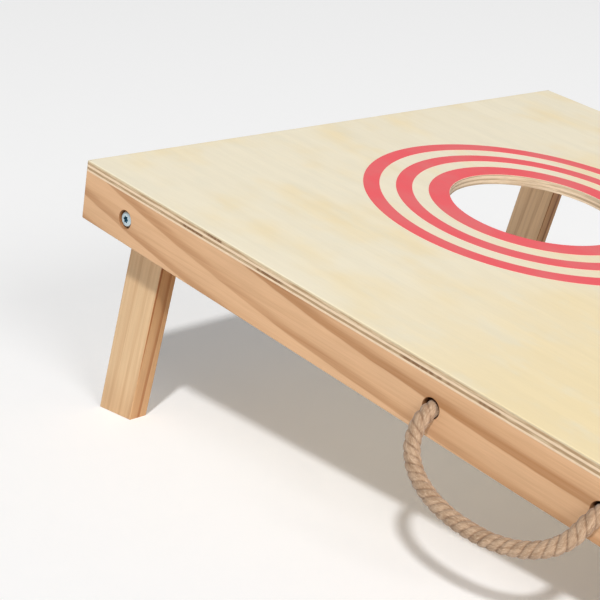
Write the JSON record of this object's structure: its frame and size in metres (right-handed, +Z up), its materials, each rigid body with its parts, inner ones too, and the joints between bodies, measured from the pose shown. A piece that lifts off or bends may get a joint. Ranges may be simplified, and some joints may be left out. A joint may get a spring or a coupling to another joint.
{
  "type": "cornhole board",
  "caption": "Sloping wooden bean bag toss board with a round bag hole, printed target rings, folding back legs and rope carrying handles.",
  "frame": {"origin": "centre of the standing board's footprint box, on the ground", "axes": "+Z up; +Y from the low front edge towards the high back edge with the bag hole and legs; +X to the right"},
  "size_m": [0.6922, 0.9294, 0.2299],
  "materials": {
    "deck_plywood": "sanded and clear matte sealed birch plywood",
    "ring_ink": "matte red screen-printed ink film",
    "rail_pine": "sanded solid pine with broad grain bands",
    "leg_pine": "sanded solid pine with straight grain",
    "dowel_beech": "plain beech",
    "screw_steel": "yellow zinc plated",
    "zinc_steel": "bright zinc plated",
    "nylon": "natural white nylon",
    "jute_rope": "three-strand twisted jute"
  },
  "bodies": {
    "frame": {"back_rail": "rail_pine", "centre_brace": "rail_pine", "deck_panel": "deck_plywood", "deck_screws": "screw_steel", "frame_dowels": "dowel_beech", "front_rail": "rail_pine", "left_lock_nut": "zinc_steel", "left_nut_insert": "nylon", "left_nut_washer": "zinc_steel", "left_pivot_bolt": "zinc_steel", "left_rail": "rail_pine", "left_rope_knots": "jute_rope", "left_spacer_washer": "nylon", "right_lock_nut": "zinc_steel", "right_nut_insert": "nylon", "right_nut_washer": "zinc_steel", "right_pivot_bolt": "zinc_steel", "right_rail": "rail_pine", "right_rope_knots": "jute_rope", "right_spacer_washer": "nylon", "target_rings": "ring_ink"},
    "left_leg": {"left_leg": "leg_pine"},
    "right_leg": {"right_leg": "leg_pine"},
    "left_handle": {"left_rope_loop": "jute_rope"},
    "right_handle": {"right_rope_loop": "jute_rope"}
  },
  "joints": [
    {"name": "left_leg_fold", "type": "hinge", "parent": "frame", "child": "left_leg", "pos_m": [-0.2653, 0.38249, 0.18978], "axis": [-1, 0, 0], "range_deg": [0, 96.3]},
    {"name": "right_leg_fold", "type": "hinge", "parent": "frame", "child": "right_leg", "pos_m": [0.2653, 0.38249, 0.18978], "axis": [-1, 0, 0], "range_deg": [0, 96.3]},
    {"name": "left_handle_swing", "type": "hinge", "parent": "frame", "child": "left_handle", "pos_m": [-0.31105, -0.01088, 0.11088], "axis": [0, 0.9803, 0.1977], "range_deg": [-35, 145], "stiffness_Nm_per_rad": 0.05},
    {"name": "right_handle_swing", "type": "hinge", "parent": "frame", "child": "right_handle", "pos_m": [0.31105, -0.01088, 0.11088], "axis": [0, -0.9803, -0.1977], "range_deg": [-35, 145], "stiffness_Nm_per_rad": 0.05}
  ]
}
